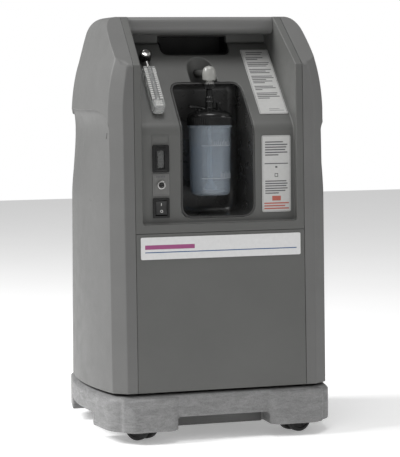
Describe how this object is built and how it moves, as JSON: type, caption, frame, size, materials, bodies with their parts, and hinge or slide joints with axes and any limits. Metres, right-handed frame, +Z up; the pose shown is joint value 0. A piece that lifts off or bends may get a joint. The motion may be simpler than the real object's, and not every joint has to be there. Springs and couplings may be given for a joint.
{
  "type": "oxygen concentrator",
  "caption": "Floor-standing oxygen concentrator: moulded casing on a castered base, slanted control panel with flowmeter, humidifier bottle in its well and carry handle.",
  "frame": {"origin": "on the floor, under the middle of the object", "axes": "+Z up, front towards -Y, +X to the right as seen from the front"},
  "size_m": [0.419, 0.368, 0.699],
  "materials": {
    "casing": "moulded, fine texture",
    "panel": "moulded, fine texture",
    "base": "structural foam, swirled",
    "black": "satin",
    "well": "satin",
    "rubber": "matt",
    "label": "printed film",
    "clear": "clear acrylic",
    "bottle": "translucent, bluish",
    "chrome": "polished",
    "steel": "satin",
    "aluminium": "cast",
    "board": "lacquered",
    "foam": "open-cell foam",
    "white": "satin"
  },
  "bodies": {
    "cabinet": {"base": "base", "left_side_cover": "casing", "right_side_cover": "casing", "rear_panel": "casing", "control_panel": "panel", "front_lower_panel": "panel", "carry_handle": "casing", "handle_pocket_liner": "well", "humidifier_well": "well", "front_strip_label": "label", "upper_label": "label", "lower_label": "label", "flowmeter_body": "clear", "flowmeter_scale": "white", "flowmeter_fitting": "chrome", "outlet_elbow": "chrome", "hour_meter_body": "black", "hour_meter_window": "label", "breaker_body": "steel", "switch_frame": "black", "power_cord_gland": "black", "equipment_deck": "steel", "bulkhead": "steel", "compressor": "aluminium", "sieve_bed_left": "aluminium", "sieve_bed_right": "aluminium", "product_tank": "steel", "valve_block": "aluminium", "control_board": "board", "fan_shroud": "black", "intake_muffler": "black", "heat_exchanger_coil": "aluminium", "pressure_regulator": "steel", "bacteria_filter": "white", "run_capacitor": "steel"},
    "humidifier": {"humidifier_lid": "black", "relief_valve_cap": "black", "diffuser_tube": "white"},
    "humidifier_jar": {"humidifier_jar": "bottle"},
    "swivel_nut": {"swivel_nut": "black"},
    "flow_knob": {"flow_knob": "black", "flow_knob_cap": "chrome"},
    "flowmeter_float": {"flowmeter_float": "black"},
    "breaker_button": {"breaker_button": "black"},
    "switch_rocker": {"switch_rocker": "black"},
    "cabinet_filter": {"cabinet_filter": "foam"},
    "fan_rotor": {"fan_rotor": "black"},
    "front_left_caster": {"front_left_caster_frame": "black"},
    "front_left_wheel_left": {"front_left_wheel_left": "rubber"},
    "front_left_wheel_right": {"front_left_wheel_right": "rubber"},
    "front_right_caster": {"front_right_caster_frame": "black"},
    "front_right_wheel_left": {"front_right_wheel_left": "rubber"},
    "front_right_wheel_right": {"front_right_wheel_right": "rubber"},
    "rear_left_caster": {"rear_left_caster_frame": "black"},
    "rear_left_wheel_left": {"rear_left_wheel_left": "rubber"},
    "rear_left_wheel_right": {"rear_left_wheel_right": "rubber"},
    "rear_right_caster": {"rear_right_caster_frame": "black"},
    "rear_right_wheel_left": {"rear_right_wheel_left": "rubber"},
    "rear_right_wheel_right": {"rear_right_wheel_right": "rubber"}
  },
  "joints": [
    {"name": "humidifier_drop", "type": "slide", "parent": "cabinet", "child": "humidifier", "axis": [0, 0, -1], "range_m": [0, 0.028]},
    {"name": "jar_unscrew", "type": "hinge", "parent": "humidifier", "child": "humidifier_jar", "pos_m": [0, -0.099, 0.46], "axis": [0, 0, 1], "range_deg": [0, 360]},
    {"name": "swivel_nut_turn", "type": "hinge", "parent": "humidifier", "child": "swivel_nut", "pos_m": [0, -0.099, 0.583], "axis": [0, 0, 1], "continuous": true},
    {"name": "flow_knob_turn", "type": "hinge", "parent": "cabinet", "child": "flow_knob", "pos_m": [-0.0945, -0.03341, 0.62528], "axis": [0, -0.6966, 0.7175], "range_deg": [-540, 540]},
    {"name": "float_rise", "type": "slide", "parent": "cabinet", "child": "flowmeter_float", "axis": [0, 0.7175, 0.6966], "range_m": [-0.0095, 0.058]},
    {"name": "breaker_push", "type": "slide", "parent": "cabinet", "child": "breaker_button", "axis": [0, 1, 0], "range_m": [0, 0.0018], "stiffness_N_per_m": 600},
    {"name": "rocker_tip", "type": "hinge", "parent": "cabinet", "child": "switch_rocker", "pos_m": [-0.098, -0.1447, 0.3846], "axis": [1, 0, 0], "range_deg": [0, 10]},
    {"name": "filter_pull", "type": "slide", "parent": "cabinet", "child": "cabinet_filter", "axis": [0, 1, 0], "range_m": [0, 0.06]},
    {"name": "fan_spin", "type": "hinge", "parent": "cabinet", "child": "fan_rotor", "pos_m": [0, 0.131, 0.176], "axis": [0, 1, 0], "continuous": true},
    {"name": "front_left_swivel", "type": "hinge", "parent": "cabinet", "child": "front_left_caster", "pos_m": [-0.124, -0.136, 0.055], "axis": [0, 0, 1], "continuous": true},
    {"name": "front_left_wheel_left_roll", "type": "hinge", "parent": "front_left_caster", "child": "front_left_wheel_left", "pos_m": [-0.13071, -0.12605, 0.025], "axis": [0.829, 0.5592, 0], "continuous": true},
    {"name": "front_left_wheel_right_roll", "type": "hinge", "parent": "front_left_caster", "child": "front_left_wheel_right", "pos_m": [-0.13071, -0.12605, 0.025], "axis": [0.829, 0.5592, 0], "continuous": true},
    {"name": "front_right_swivel", "type": "hinge", "parent": "cabinet", "child": "front_right_caster", "pos_m": [0.124, -0.136, 0.055], "axis": [0, 0, 1], "continuous": true},
    {"name": "front_right_wheel_left_roll", "type": "hinge", "parent": "front_right_caster", "child": "front_right_wheel_left", "pos_m": [0.13496, -0.13112, 0.025], "axis": [0.4067, -0.9135, 0], "continuous": true},
    {"name": "front_right_wheel_right_roll", "type": "hinge", "parent": "front_right_caster", "child": "front_right_wheel_right", "pos_m": [0.13496, -0.13112, 0.025], "axis": [0.4067, -0.9135, 0], "continuous": true},
    {"name": "rear_left_swivel", "type": "hinge", "parent": "cabinet", "child": "rear_left_caster", "pos_m": [-0.124, 0.136, 0.055], "axis": [0, 0, 1], "continuous": true},
    {"name": "rear_left_wheel_left_roll", "type": "hinge", "parent": "rear_left_caster", "child": "rear_left_wheel_left", "pos_m": [-0.1199, 0.14728, 0.025], "axis": [0.9397, -0.342, 0], "continuous": true},
    {"name": "rear_left_wheel_right_roll", "type": "hinge", "parent": "rear_left_caster", "child": "rear_left_wheel_right", "pos_m": [-0.1199, 0.14728, 0.025], "axis": [0.9397, -0.342, 0], "continuous": true},
    {"name": "rear_right_swivel", "type": "hinge", "parent": "cabinet", "child": "rear_right_caster", "pos_m": [0.124, 0.136, 0.055], "axis": [0, 0, 1], "continuous": true},
    {"name": "rear_right_wheel_left_roll", "type": "hinge", "parent": "rear_right_caster", "child": "rear_right_wheel_left", "pos_m": [0.11837, 0.1466, 0.025], "axis": [0.8829, 0.4695, 0], "continuous": true},
    {"name": "rear_right_wheel_right_roll", "type": "hinge", "parent": "rear_right_caster", "child": "rear_right_wheel_right", "pos_m": [0.11837, 0.1466, 0.025], "axis": [0.8829, 0.4695, 0], "continuous": true}
  ]
}
